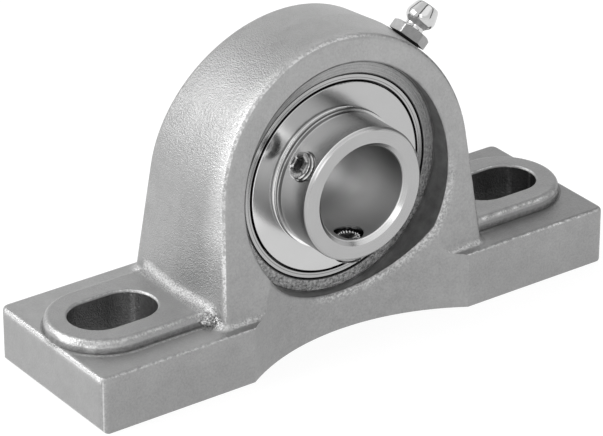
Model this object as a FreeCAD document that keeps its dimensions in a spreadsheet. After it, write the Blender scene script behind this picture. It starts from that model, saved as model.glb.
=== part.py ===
import FreeCAD, Part
import math
import os
import re
import Sketcher
from FreeCAD import Placement, Rotation, Vector

# Pillow-block bearing unit for a 20 mm shaft, in millimetres.
# The origin is the bearing centre on the shaft axis. +X runs along the base, +Z is up, and the
# collar with the set screws looks towards -Y. The underside is at z = -centre_height.

SIZES = [
    # base of the cast housing
    ("base_length", 124.0, "base, end to end"),
    ("base_width", 37.0, "base, front to back, at the feet"),
    ("foot_height", 12.2, "foot block, without its raised pad"),
    ("centre_height", 33.3, "shaft axis above the underside"),
    ("corner_radius", 1.6, "upright corners of the foot blocks"),
    ("foot_edge_radius", 0.9, "top edges of the foot blocks"),
    ("foot_end_radius", 1.5, "bottom edge at each end"),
    ("bolt_spacing", 95.0, "slot centre to slot centre"),
    ("slot_width", 12.5, "bolt slot, across"),
    ("slot_length", 19.0, "bolt slot, end to end"),
    ("slot_edge_radius", 0.45, "upper edge of the slots"),
    ("pad_height", 2.6, "raised pad round each slot"),
    ("pad_setback", 6.6, "from the base's front to the pad's flank, at its foot"),
    ("pad_end_margin", 4.7, "pad material beyond the slot's outer end"),
    ("pad_draft", 8.0, "slope of the pad's flank, degrees"),
    ("pad_edge_radius", 1.2, "upper edge of the pad"),
    ("waist_half_span", 26.5, "half length of the waist between the feet"),
    ("waist_depth", 7.7, "how far each waist cuts into the base"),
    # upright of the cast housing
    ("crown_radius", 31.1, "outside of the upright at its middle plane"),
    ("crown_draft", 5.0, "slope of the crown to each face, degrees"),
    ("side_flare", 5.5, "slope of the upright's sides, degrees"),
    ("face_setback", 5.15, "from the base's front to the upright's face, at the height of the shaft"),
    ("face_draft", 7.4, "slope of the front and back faces, degrees"),
    ("rim_radius", 1.2, "rounded rim of the upright"),
    ("root_radius", 1.8, "fillet at the upright's root"),
    ("recess_radius", 24.6, "opening in front of and behind the seat"),
    ("recess_edge_radius", 0.5, "mouth of that opening"),
    ("seat_gap", 0.05, "running gap round the insert"),
    ("seat_margin", 0.2, "seat beyond each face of the outer ring"),
    ("notch_gap", 0.2, "loading notch round the insert"),
    ("groove_front", 2.6, "grease groove, front wall before the middle plane"),
    ("groove_back", 5.2, "grease groove, back wall behind the middle plane"),
    ("groove_depth", 0.8, "grease groove in the seat"),
    ("channel_radius", 1.5, "grease channel under the nipple"),
    ("port_wall", 1.25, "between the grease groove and the tapped port"),
    # grease nipple, on its own axis, with heights from the hexagon's underside
    ("nipple_angle", 45.0, "lean from +X towards +Z, degrees"),
    ("nipple_forward", 2.4, "axis in front of the middle plane"),
    ("nipple_stand", 0.3, "hexagon's underside beyond the crown"),
    ("nipple_thread", 6.0, "thread diameter, and the port's"),
    ("thread_gap", 0.02, "between the thread and its port"),
    ("shank_gap", 0.5, "port beyond the end of the thread"),
    ("hexagon", 7.3, "across flats"),
    ("hexagon_height", 2.0, "hexagon"),
    ("hexagon_bevel", 30.0, "bevel on the hexagon's upper corners, degrees"),
    ("neck_radius", 2.05, "neck under the head"),
    ("neck_top", 2.9, "where the head starts to flare"),
    ("head_radius", 3.2, "widest part of the head"),
    ("head_level", 4.8, "height of the widest part"),
    ("head_land", 0.25, "straight band at the widest part"),
    ("tip_radius", 2.3, "flat at the tip"),
    ("nipple_height", 7.7, "tip"),
    ("inlet_radius", 0.75, "inlet hole"),
    ("chamber_radius", 1.35, "chamber of the check ball"),
    ("chamber_top", 6.6, "shoulder that the ball closes"),
    ("chamber_rim", 0.6, "rim at the shank's end that carries the spring"),
    ("floor_radius", 0.6, "hole through that rim"),
    ("check_radius", 1.15, "check ball"),
    ("check_gap", 0.02, "between the ball, its shoulder and its spring"),
    ("coil_radius", 0.95, "check spring, middle of the wire"),
    ("wire_radius", 0.15, "check spring wire"),
    ("coil_turns", 6.0, "turns of the check spring"),
    # bearing insert
    ("insert_diameter", 47.0, "spherical outside of the outer ring"),
    ("outer_width", 17.0, "outer ring"),
    ("outer_chamfer", 0.3, "outer ring's corners"),
    ("ball_diameter", 7.938, "bearing balls"),
    ("ball_count", 8, "bearing balls"),
    ("pitch_diameter", 33.5, "circle of the ball centres"),
    ("race_radius", 4.128, "hollow of both races"),
    ("race_gap", 0.03, "between a ball and a race"),
    ("race_depth", 1.45, "depth of both races"),
    ("bore_diameter", 20.0, "shaft"),
    ("collar_reach", 18.3, "collar's end before the ball centres"),
    ("short_reach", 12.7, "plain end behind the ball centres"),
    ("collar_chamfer", 0.65, "edges of the inner ring"),
    ("bore_chamfer", 0.9, "front mouth of the bore"),
    ("oil_hole_radius", 0.75, "grease holes in the outer ring"),
    ("oil_hole_level", 4.2, "grease holes behind the middle plane"),
    # seals and slingers
    ("mouth_radius", 20.5, "outer ring round the slinger"),
    ("mouth_depth", 1.9, "outer ring round the slinger"),
    ("seal_radius", 20.1, "outer ring round the seal washer"),
    ("seal_depth", 1.1, "seat behind the mouth"),
    ("washer_thickness", 0.5, "steel washer of the seal"),
    ("washer_hole", 15.2, "where the rubber meets the washer"),
    ("lip_gap", 0.05, "between the rubber lip and the inner ring"),
    ("lip_reach", 0.5, "how far the lip leans outwards"),
    ("lip_edge", 0.25, "thickness of the lip's tip"),
    ("slinger_radius", 20.15, "outer edge of the slinger"),
    ("slinger_sheet", 0.5, "sheet of the slinger"),
    ("slinger_stand", 0.15, "slinger's edge beyond the outer ring's face"),
    ("slinger_skirt", 1.1, "turned-in edge of the slinger"),
    ("slinger_dish", 0.25, "how far the disc sinks towards its middle"),
    ("slinger_rim", 1.2, "turned-out rim beyond the disc"),
    ("slinger_bend", 0.25, "curves of the slinger's sheet"),
    # cage
    ("cage_sheet", 0.6, "sheet of the cage halves"),
    ("cage_half_band", 1.6, "half width of the ribbon, radially"),
    ("pocket_gap", 0.13, "between a ball and its pocket"),
    ("rivet_radius", 0.5, "cage rivets"),
    ("rivet_head_radius", 0.9, "cage rivets"),
    ("rivet_head_height", 0.35, "cage rivets"),
    # set screws
    ("screw_diameter", 6.0, "tapped holes in the collar"),
    ("screw_length", 5.0, "set screw"),
    ("screw_gap", 0.05, "between the screw and its hole"),
    ("screw_level", 14.1, "screw axis before the ball centres"),
    ("screw_angle", 146.0, "first screw, from +X towards +Z, degrees"),
    ("screw_spread", 120.0, "angle between the screws, degrees"),
    ("screw_tip", 10.4, "cup point from the shaft axis"),
    ("screw_chamfer", 0.45, "screw's ends"),
    ("socket_width", 3.0, "hexagon socket, across flats"),
    ("socket_depth", 2.3, "hexagon socket"),
    ("cup_radius", 1.5, "cup point"),
    ("cup_depth", 0.7, "cup point"),
    ("screw_hole_chamfer", 0.25, "mouth of the tapped holes"),
]

# Sizes that follow from the driving ones
FOLLOWING = {
    "base_bottom": "-centre_height",
    "foot_top": "foot_height - centre_height",
    "pad_top": "foot_height + pad_height - centre_height",
    "face_half_depth": "base_width / 2 - face_setback",
    "face_slope": "tan(face_draft * 1 deg)",
    "tongue_bottom": "foot_height / 2 - centre_height",
    "tongue_half_depth": "face_half_depth - tongue_bottom * face_slope",
    "flare_slope": "tan(side_flare * 1 deg)",
    "flare_start_x": "crown_radius * cos(side_flare * 1 deg)",
    "flare_start_z": "crown_radius * sin(side_flare * 1 deg)",
    "waist_radius": "waist_half_span ^ 2 / (2 * waist_depth) + waist_depth / 2",
    "slot_radius": "slot_width / 2",
    "slot_outer": "bolt_spacing / 2 + slot_length / 2",
    "slot_inner": "bolt_spacing / 2 - slot_length / 2",
    "pad_outer": "bolt_spacing / 2 + slot_length / 2 + pad_end_margin",
    "pad_half_width": "base_width / 2 - pad_setback",
    "insert_radius": "insert_diameter / 2",
    "seat_radius": "insert_diameter / 2 + seat_gap",
    "seat_half_width": "outer_width / 2 + seat_margin",
    "seat_mouth": "sqrt(seat_radius ^ 2 - seat_half_width ^ 2)",
    "nipple_seat": "crown_radius + nipple_stand",
    "port_depth": "nipple_seat - seat_radius - groove_depth - port_wall",
    "shank_length": "port_depth - shank_gap",
    "chamber_floor": "shank_length - chamber_rim",
    "port_radius": "nipple_thread / 2",
    "ball_radius": "ball_diameter / 2",
    "pitch_radius": "pitch_diameter / 2",
    "outer_land": "pitch_radius + ball_radius + race_gap - race_depth",
    "inner_land": "pitch_radius - ball_radius - race_gap + race_depth",
    "race_half_width": "sqrt(race_radius ^ 2 - (race_radius - race_depth) ^ 2)",
    "face_edge": "sqrt(insert_radius ^ 2 - (outer_width / 2) ^ 2)",
    "mouth_floor": "outer_width / 2 - mouth_depth",
    "seal_floor": "outer_width / 2 - mouth_depth - seal_depth",
    "bore_radius": "bore_diameter / 2",
    "hole_radius": "screw_diameter / 2",
    "pocket_radius": "ball_radius + pocket_gap",
    "dome_radius": "ball_radius + pocket_gap + cage_sheet",
    "check_level": "chamber_top - check_gap - sqrt(check_radius ^ 2 - inlet_radius ^ 2)",
    "spring_top": "check_level - sqrt((check_radius + check_gap + wire_radius) ^ 2 - coil_radius ^ 2)",
    "spring_bottom": "check_gap + wire_radius - chamber_floor",
}

doc = FreeCAD.newDocument("bearing_unit")
sheet = doc.addObject("Spreadsheet::Sheet", "Sizes")
for row, (alias, value, meaning) in enumerate(SIZES, start=1):
    sheet.set(f"A{row}", meaning)
    sheet.set(f"B{row}", str(value))
    sheet.setAlias(f"B{row}", alias)
DRIVING = {alias for alias, value, meaning in SIZES}
doc.recompute()


def bound(text):
    """The same expression with every size read from the sheet."""
    def swap(match):
        word = match.group(0)
        if word in FOLLOWING:
            return f"({bound(FOLLOWING[word])})"
        return f"Sizes.{word}" if word in DRIVING else word
    return re.sub(r"[A-Za-z_]+", swap, str(text))


gauge = doc.addObject("App::FeaturePython", "Gauge")
gauge.addProperty("App::PropertyFloat", "Reading")


def number(text):
    """What an expression of the sizes comes to now."""
    gauge.setExpression("Reading", bound(text))
    gauge.recompute()
    return gauge.Reading


def tie(item, **sizes):
    """Binds properties of an object to expressions of the sizes."""
    for name, text in sizes.items():
        item.setExpression(name.replace("__", "."), bound(text))


def new_body(label):
    body = doc.addObject("PartDesign::Body", label)
    body.Label = label
    return body


def origin_item(body, role):
    return next(item for item in body.Origin.OriginFeatures if item.Role == role)


def new_sketch(body, name, plane="XY_Plane", level=None, turn=None):
    """An empty sketch on an origin plane, raised by level, or turned about the Y axis."""
    sketch = body.newObject("Sketcher::SketchObject", f"{body.Name}_{name}")
    sketch.AttachmentSupport = [(origin_item(body, plane), "")]
    sketch.MapMode = "FlatFace"
    if level is not None:
        tie(sketch, AttachmentOffset__Base__z=level)
    if turn is not None:
        sketch.AttachmentOffset = Placement(Vector(), Rotation(Vector(0, 1, 0), 1))
        tie(sketch, AttachmentOffset__Rotation__Angle=turn)
    return sketch


def hold(sketch, kind, *members, size=None):
    """One constraint, bound to the sheet where it has a size."""
    if size is None:
        sketch.addConstraint(Sketcher.Constraint(kind, *members))
        return
    index = sketch.addConstraint(Sketcher.Constraint(kind, *members, number(size)))
    sketch.setExpression(f"Constraints[{index}]", bound(size))


def place_point(sketch, item, end, x, y):
    """Fixes one end of a line or arc at its distances from the sketch's origin."""
    hold(sketch, "DistanceX", -1, 1, item, end, size=x)
    hold(sketch, "DistanceY", -1, 1, item, end, size=y)


def arc_between(start, stop, radius, turn):
    """The minor arc from start to stop, which turns left where turn is 1 and right where it is -1."""
    if turn < 0:
        start, stop = stop, start
    chord = stop - start
    rise = max(radius ** 2 - (chord.Length / 2) ** 2, 0.0) ** 0.5
    centre = (start + stop) * 0.5 + Vector(-chord.y, chord.x, 0).normalize() * rise
    first = math.atan2(start.y - centre.y, start.x - centre.x)
    last = math.atan2(stop.y - centre.y, stop.x - centre.x)
    if last < first:
        last += 2 * math.pi
    return Part.ArcOfCircle(Part.Circle(centre, Vector(0, 0, 1), radius), first, last)


def outline(sketch, corners):
    """A closed outline. A corner is (x, y), or (x, y, radius, turn) where an arc leaves it."""
    points = [Vector(number(corner[0]), number(corner[1]), 0) for corner in corners]
    items = []
    ends = []
    for index, corner in enumerate(corners):
        start, stop = points[index], points[(index + 1) % len(corners)]
        if len(corner) == 2:
            items.append(sketch.addGeometry(Part.LineSegment(start, stop), False))
            ends.append((1, 2))
        else:
            arc = arc_between(start, stop, number(corner[2]), corner[3])
            items.append(sketch.addGeometry(arc, False))
            ends.append((1, 2) if corner[3] > 0 else (2, 1))
    for index, corner in enumerate(corners):
        after = (index + 1) % len(corners)
        hold(sketch, "Coincident", items[index], ends[index][1], items[after], ends[after][0])
        place_point(sketch, items[index], ends[index][0], corner[0], corner[1])
        if len(corner) == 4:
            hold(sketch, "Radius", items[index], size=corner[2])


def flipped(corners, side):
    """The same corners, mirrored in the x axis where side is -1."""
    return [(corner[0], f"{side} * ({corner[1]})", *corner[2:3], *(side * turn for turn in corner[3:]))
            for corner in corners]


def box(sketch, left, right, low, high):
    outline(sketch, [(left, low), (right, low), (right, high), (left, high)])


def spin_axis(sketch, start, stop):
    """A construction line that a profile of the same sketch turns about. It is drawn first."""
    ends = [Vector(number(x), number(y), 0) for x, y in (start, stop)]
    item = sketch.addGeometry(Part.LineSegment(*ends), True)
    place_point(sketch, item, 1, *start)
    place_point(sketch, item, 2, *stop)


def circle(sketch, x, y, radius):
    centre = Vector(number(x), number(y), 0)
    item = sketch.addGeometry(Part.Circle(centre, Vector(0, 0, 1), number(radius)), False)
    place_point(sketch, item, 3, x, y)
    hold(sketch, "Radius", item, size=radius)


def hexagon(sketch, width):
    """A regular hexagon about the sketch's origin, with corners on its x axis."""
    side = f"({width}) / sqrt(3)"
    half = f"({width}) / 2"
    outline(sketch, [(side, 0), (f"{side} / 2", half), (f"-{side} / 2", half),
                     (f"-{side}", 0), (f"-{side} / 2", f"-{half}"), (f"{side} / 2", f"-{half}")])


def feature(body, kind, name, profile, **settings):
    """A PartDesign feature on a profile, recomputed and made the body's tip."""
    item = body.newObject(f"PartDesign::{kind}", f"{body.Name}_{name}")
    item.Profile = profile
    for key, setting in settings.items():
        setattr(item, key, setting)
    doc.recompute()
    return item


def pad(body, name, profile, length, both_ways=False, draft=None, kind="Pad", reverse=False):
    """Pads or pockets a profile by a length, and slopes its sides by a draft angle."""
    item = feature(body, kind, name, profile, Reversed=reverse)
    item.SideType = "Symmetric" if both_ways else "One side"
    tie(item, Length=length)
    if draft is not None:
        tie(item, TaperAngle=draft)
    doc.recompute()
    return item


def turned(body, name, profile, kind="Revolution", axis="V_Axis"):
    """A full turn of a profile about an axis of its sketch."""
    item = feature(body, kind, name, profile, ReferenceAxis=(profile, [axis]))
    item.Angle = 360
    doc.recompute()
    return item


def round_about(body, name, original, count):
    """Repeats a feature evenly about the shaft axis."""
    item = body.newObject("PartDesign::PolarPattern", f"{body.Name}_{name}")
    item.Originals = [original]
    item.Axis = (origin_item(body, "Y_Axis"), [""])
    item.Angle = 360
    tie(item, Occurrences=count)
    body.Tip = item
    doc.recompute()
    return item


def rounded(body, name, radius, chosen, kind="Fillet", size="Radius"):
    """Rounds or bevels those edges of the body for which chosen says yes."""
    base = body.Tip
    names = [f"Edge{index}" for index, edge in enumerate(base.Shape.Edges, start=1) if chosen(edge)]
    item = body.newObject(f"PartDesign::{kind}", f"{body.Name}_{name}")
    item.Base = (base, names)
    item.setExpression(size, bound(radius))
    doc.recompute()
    return item


def make_housing():
    """The casting: upright, base with raised pads and slots, waists, seat and grease passage."""
    body = new_body("housing")

    # upright about its middle plane, thinner towards the crown and towards both faces
    arch = new_sketch(body, "arch", "XZ_Plane")
    spread = "flare_start_x + (flare_start_z - tongue_bottom) * flare_slope"
    outline(arch, [(f"-({spread})", "tongue_bottom"), (spread, "tongue_bottom"),
                   ("flare_start_x", "flare_start_z", "crown_radius", 1),
                   (0, "crown_radius", "crown_radius", 1),
                   ("-flare_start_x", "flare_start_z")])
    pad(body, "upright", arch, "2 * tongue_half_depth", both_ways=True, draft="-crown_draft")
    for side, name in ((-1, "front"), (1, "back")):
        wedge = new_sketch(body, f"{name}_slope", "YZ_Plane")
        top = "crown_radius + 1"
        out = f"{side} * (tongue_half_depth + 1)"
        outline(wedge, [(f"{side} * tongue_half_depth", "tongue_bottom"), (out, "tongue_bottom"),
                        (out, top), (f"{side} * (face_half_depth - ({top}) * face_slope)", top)])
        pad(body, f"{name}_face", wedge, "base_length", both_ways=True, kind="Pocket")

    def on_slope(vertex):
        half_depth = number("face_half_depth") - vertex.Z * number("face_slope")
        return abs(abs(vertex.Y) - half_depth) < 0.01

    def on_rim(edge):
        return all(map(on_slope, edge.Vertexes)) and edge.CenterOfMass.z > number("tongue_bottom") + 0.01
    rounded(body, "rim", "rim_radius", on_rim)

    # base block with round upright corners, soft top edges and rounded ends underneath
    block = new_sketch(body, "block", level="base_bottom")
    long_side, short_side = "base_length / 2", "base_width / 2"
    corners = []
    for right, back in ((1, 1), (-1, 1), (-1, -1), (1, -1)):
        flank = (f"{right} * ({long_side})", f"{back} * ({short_side} - corner_radius)")
        edge = (f"{right} * ({long_side} - corner_radius)", f"{back} * ({short_side})")
        first, second = (flank, edge) if right * back > 0 else (edge, flank)
        corners += [(*first, "corner_radius", 1), second]
    outline(block, corners)
    pad(body, "base", block, "foot_height")

    def on_foot_top(edge):
        box = edge.BoundBox
        far = max(abs(box.XMin), abs(box.XMax)) > number("base_length / 2 - corner_radius") - 0.01
        deep = max(abs(box.YMin), abs(box.YMax)) > number("base_width / 2 - corner_radius") - 0.01
        return box.ZLength < 0.01 and abs(box.ZMax - number("foot_top")) < 0.01 and (far or deep)
    rounded(body, "foot_edges", "foot_edge_radius", on_foot_top)
    ends = new_sketch(body, "ends", "XZ_Plane")
    for side in (-1, 1):
        tip, start = f"{side} * ({long_side})", f"{side} * ({long_side} - foot_end_radius)"
        outline(ends, [(start, "base_bottom", "foot_end_radius", side),
                       (tip, "base_bottom + foot_end_radius"),
                       (f"{side} * ({long_side} + 1)", "base_bottom + foot_end_radius"),
                       (f"{side} * ({long_side} + 1)", "base_bottom - 1"),
                       (start, "base_bottom - 1")])
    pad(body, "end_rounding", ends, "base_width + 1", both_ways=True, kind="Pocket")

    # raised pads, round at their outer ends and running into the upright
    pads = new_sketch(body, "pads", level="foot_top - foot_edge_radius")
    for side in (-1, 1):
        inner = f"{side} * (crown_radius - root_radius)"
        bend = f"{side} * (pad_outer - pad_half_width)"
        outline(pads, [(inner, f"{-side} * pad_half_width"),
                       (bend, f"{-side} * pad_half_width", "pad_half_width", 1),
                       (f"{side} * pad_outer", 0, "pad_half_width", 1),
                       (bend, f"{side} * pad_half_width"),
                       (inner, f"{side} * pad_half_width")])
    pad(body, "raised_pads", pads, "pad_height + foot_edge_radius", draft="-pad_draft")

    def reach(edge):
        """Nearest and farthest distance of an edge from the middle, along the base."""
        ends = sorted((abs(edge.BoundBox.XMin), abs(edge.BoundBox.XMax)))
        return ends[0], ends[1]

    def on_pad_top(edge):
        level = edge.BoundBox.ZLength < 0.01 and abs(edge.BoundBox.ZMax - number("pad_top")) < 0.01
        return level and reach(edge)[1] > number("pad_outer - pad_half_width") - 0.01
    rounded(body, "pad_edges", "pad_edge_radius", on_pad_top)

    def on_root(edge):
        low, high = edge.BoundBox.ZMin, edge.BoundBox.ZMax
        level = number("foot_top") - 0.01 < low and high < number("pad_top") + 0.01
        near, far = reach(edge)
        return level and near > number("crown_radius - rim_radius") and far < number(spread)
    rounded(body, "root", "root_radius", on_root)

    # waists, cut straight up through the base and the upright
    waists = new_sketch(body, "waists", level="base_bottom")
    for side in (-1, 1):
        circle(waists, 0, f"{side} * (base_width / 2 - waist_depth + waist_radius)", "waist_radius")
    pad(body, "waist", waists, "centre_height + crown_radius", kind="Pocket", reverse=True)

    # spherical seat between two openings
    seat = new_sketch(body, "seat_profile")
    far = "tongue_half_depth + 1"
    outline(seat, [(0, f"-({far})"), ("recess_radius", f"-({far})"),
                   ("recess_radius", "-seat_half_width"),
                   ("seat_mouth", "-seat_half_width", "seat_radius", 1),
                   ("seat_mouth", "seat_half_width"),
                   ("recess_radius", "seat_half_width"), ("recess_radius", far), (0, far)])
    turned(body, "seat", seat, kind="Groove")

    def on_mouth(edge):
        spot = edge.Vertexes[0].Point
        return (all(abs(math.hypot(v.X, v.Z) - number("recess_radius")) < 0.01 for v in edge.Vertexes)
                and abs(spot.y) > number("seat_half_width") + 0.1 and edge.BoundBox.XLength > 0.1)
    rounded(body, "mouths", "recess_edge_radius", on_mouth)

    # notch behind the middle plane, where the insert goes in turned on edge
    notch = new_sketch(body, "notch_outline", "XZ_Plane")
    half_width, half_height = "seat_radius + notch_gap", "outer_width / 2 + notch_gap"
    box(notch, f"-({half_width})", half_width, f"-({half_height})", half_height)
    pad(body, "notch", notch, far, kind="Pocket")
    ring = new_sketch(body, "grease_profile")
    box(ring, "seat_mouth", "seat_radius + groove_depth", "-groove_front", "groove_back")
    turned(body, "grease_groove", ring, kind="Groove")

    # port for the nipple and the channel from it to the groove
    port = new_sketch(body, "port_profile", turn="-nipple_angle")
    start, stop = "seat_mouth", "crown_radius + 1"
    spin_axis(port, (start, "-nipple_forward"), (stop, "-nipple_forward"))
    floor = "nipple_seat - port_depth"
    outline(port, [(start, "-nipple_forward"), (stop, "-nipple_forward"),
                   (stop, "port_radius - nipple_forward"), (floor, "port_radius - nipple_forward"),
                   (floor, "channel_radius - nipple_forward"), (start, "channel_radius - nipple_forward")])
    turned(body, "port", port, kind="Groove", axis="Axis0")

    # bolt slots
    slots = new_sketch(body, "slots", level="base_bottom")
    for side in (-1, 1):
        near, far = f"{side} * (slot_inner + slot_radius)", f"{side} * (slot_outer - slot_radius)"
        outline(slots, [(near, f"{-side} * slot_radius"),
                        (far, f"{-side} * slot_radius", "slot_radius", 1),
                        (f"{side} * slot_outer", 0, "slot_radius", 1),
                        (far, f"{side} * slot_radius"),
                        (near, f"{side} * slot_radius", "slot_radius", 1),
                        (f"{side} * slot_inner", 0, "slot_radius", 1)])
    pad(body, "bolt_slots", slots, "foot_height + pad_height + 1", kind="Pocket", reverse=True)

    def on_slot_top(edge):
        near, far = reach(edge)
        level = edge.BoundBox.ZLength < 0.01 and abs(edge.BoundBox.ZMax - number("pad_top")) < 0.01
        slim = abs(edge.BoundBox.YMax) < number("slot_radius") + 0.01
        inside = near > number("slot_inner") - 0.01 and far < number("slot_outer") + 0.01
        return level and slim and inside
    rounded(body, "slot_edges", "slot_edge_radius", on_slot_top)
    return body


def axis_turn(body, name, corners, start, stop, kind="Revolution", turn=None):
    """Turns an outline about a line of its own sketch, which joins start and stop."""
    sketch = new_sketch(body, f"{name}_profile", turn=turn)
    spin_axis(sketch, start, stop)
    outline(sketch, corners)
    return turned(body, name, sketch, kind=kind, axis="Axis0")


def ball_corners(radius):
    """Half a disc round a ball centre, for turning about the ball's own axis."""
    return [("pitch_radius", f"-({radius})", radius, 1), (f"pitch_radius + {radius}", 0, radius, 1),
            ("pitch_radius", radius)]


def place_on_spoke(item, angle, radius, level):
    """Stands a piece on a spoke from the shaft axis, its own z axis pointing outwards."""
    item.Placement = Placement(Vector(), Rotation(Vector(0, 1, 0), 1))
    tie(item, Placement__Rotation__Angle=f"90 - ({angle})",
        Placement__Base__x=f"({radius}) * cos(({angle}) * 1 deg)",
        Placement__Base__y=level,
        Placement__Base__z=f"({radius}) * sin(({angle}) * 1 deg)")


def make_nipple():
    """Nipple body: tapped shank, hexagon and head, hollow for its check ball."""
    body = new_body("grease_nipple_body")
    across = new_sketch(body, "across")
    hexagon(across, "hexagon")
    pad(body, "nut", across, "hexagon_height")
    bevel = new_sketch(body, "bevel_profile", "XZ_Plane")
    far = "hexagon / sqrt(3) + 1"
    drop = f"({far} - hexagon / 2) * tan(hexagon_bevel * 1 deg)"
    outline(bevel, [("hexagon / 2", "hexagon_height"), (far, f"hexagon_height - {drop}"),
                    (far, "hexagon_height")])
    turned(body, "bevel", bevel, kind="Groove")
    shape = new_sketch(body, "shape_profile", "XZ_Plane")
    shank = "port_radius - thread_gap"
    waist = "hexagon_height / 2"
    outline(shape, [(0, "-shank_length"), (f"{shank} - wire_radius * 2", "-shank_length"),
                    (shank, "wire_radius * 2 - shank_length"), (shank, waist), ("neck_radius", waist),
                    ("neck_radius", "neck_top"), ("head_radius", "head_level"),
                    ("head_radius", "head_level + head_land"), ("tip_radius", "nipple_height"),
                    (0, "nipple_height")])
    turned(body, "shank_and_head", shape)
    bore = new_sketch(body, "bore_profile", "XZ_Plane")
    low, high = "-shank_length - 1", "nipple_height + 1"
    outline(bore, [(0, low), ("floor_radius", low), ("floor_radius", "-chamber_floor"),
                   ("chamber_radius", "-chamber_floor"), ("chamber_radius", "chamber_top"),
                   ("inlet_radius", "chamber_top"), ("inlet_radius", high), (0, high)])
    turned(body, "bore", bore, kind="Groove")
    place_on_spoke(body, "nipple_angle", "nipple_seat", "-nipple_forward")
    return body


def make_check_ball():
    ball = doc.addObject("Part::Sphere", "nipple_ball")
    tie(ball, Radius="check_radius")
    place_on_spoke(ball, "nipple_angle", "nipple_seat + check_level", "-nipple_forward")
    return ball


def make_check_spring():
    """Coil spring between the chamber's rim and the check ball."""
    coil = doc.addObject("Part::Helix", "spring_path")
    height = "spring_top - spring_bottom"
    tie(coil, Radius="coil_radius", Height=height, Pitch=f"({height}) / coil_turns",
        Placement__Base__z="spring_bottom")
    wire = doc.addObject("Part::Circle", "spring_section")
    wire.Placement = Placement(Vector(), Rotation(Vector(1, 0, 0), 90))
    tie(wire, Radius="wire_radius", Placement__Base__x="coil_radius", Placement__Base__z="spring_bottom")
    spring = doc.addObject("Part::Sweep", "nipple_spring")
    spring.Sections = [wire]
    spring.Spine = (coil, [])
    spring.Solid = True
    spring.Frenet = True
    place_on_spoke(spring, "nipple_angle", "nipple_seat", "-nipple_forward")
    return spring


def make_outer_ring():
    """Outer ring: spherical outside, race, seal seats, slinger mouths and grease holes."""
    body = new_body("outer_ring")
    profile = new_sketch(body, "section")
    half = "outer_width / 2"
    shoulder = f"{half} - outer_chamfer"
    sphere = f"sqrt(insert_radius ^ 2 - ({shoulder}) ^ 2)"
    corners = [(sphere, f"-({shoulder})", "insert_radius", 1), (sphere, shoulder),
               ("face_edge - outer_chamfer", half), ("mouth_radius", half),
               ("mouth_radius", "mouth_floor"), ("seal_radius", "mouth_floor"),
               ("seal_radius", "seal_floor"), ("outer_land", "seal_floor"),
               ("outer_land", "race_half_width", "race_radius", -1),
               ("outer_land", "-race_half_width"),
               ("outer_land", "-seal_floor"), ("seal_radius", "-seal_floor"),
               ("seal_radius", "-mouth_floor"), ("mouth_radius", "-mouth_floor"),
               ("mouth_radius", f"-({half})"), ("face_edge - outer_chamfer", f"-({half})")]
    outline(profile, corners)
    turned(body, "ring", profile)
    for angle, name in ((90, "upper"), (270, "lower")):
        start, stop = "outer_land - 1", "insert_radius + 1"
        edge = "oil_hole_level + oil_hole_radius"
        axis_turn(body, f"{name}_grease_hole",
                  [(start, "oil_hole_level"), (stop, "oil_hole_level"), (stop, edge), (start, edge)],
                  (start, "oil_hole_level"), (stop, "oil_hole_level"), kind="Groove", turn=f"-{angle}")
    return body


def make_inner_ring():
    """Inner ring: bore, race and long collar with two tapped holes."""
    body = new_body("inner_ring")
    profile = new_sketch(body, "section")
    bevel = "collar_chamfer"
    outline(profile, [("bore_radius + bore_chamfer", "-collar_reach"),
                      (f"inner_land - {bevel}", "-collar_reach"),
                      ("inner_land", f"{bevel} - collar_reach"),
                      ("inner_land", "-race_half_width", "race_radius", -1),
                      ("inner_land", "race_half_width"), ("inner_land", f"short_reach - {bevel}"),
                      (f"inner_land - {bevel}", "short_reach"), (f"bore_radius + {bevel}", "short_reach"),
                      ("bore_radius", f"short_reach - {bevel}"),
                      ("bore_radius", "bore_chamfer - collar_reach")])
    turned(body, "ring", profile)
    for count in range(2):
        start, stop = "bore_radius - 1", "inner_land + 1"
        wall, mouth = "hole_radius - screw_level", "inner_land - screw_hole_chamfer"
        axis_turn(body, f"tapped_hole_{count + 1}",
                  [(start, "-screw_level"), (stop, "-screw_level"),
                   (stop, f"{wall} + {stop} - ({mouth})"), (mouth, wall), (start, wall)],
                  (start, "-screw_level"), (stop, "-screw_level"), kind="Groove",
                  turn=f"-(screw_angle + {count} * screw_spread)")
    return body


def make_set_screw(count):
    """Set screw with a cup point at its own origin and a hexagon socket at its outer end."""
    body = new_body(f"set_screw_{count + 1}")
    profile = new_sketch(body, "section", "XZ_Plane")
    radius, bevel = "hole_radius - screw_gap", "screw_chamfer"
    outline(profile, [(0, "cup_depth"), ("cup_radius", 0), (f"{radius} - {bevel}", 0), (radius, bevel),
                      (radius, f"screw_length - {bevel}"), (f"{radius} - {bevel}", "screw_length"),
                      (0, "screw_length")])
    turned(body, "shank", profile)
    socket = new_sketch(body, "socket_outline", level="screw_length")
    hexagon(socket, "socket_width")
    pad(body, "socket", socket, "socket_depth", kind="Pocket")
    place_on_spoke(body, f"screw_angle + {count} * screw_spread", "screw_tip", "-screw_level")
    return body


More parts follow.
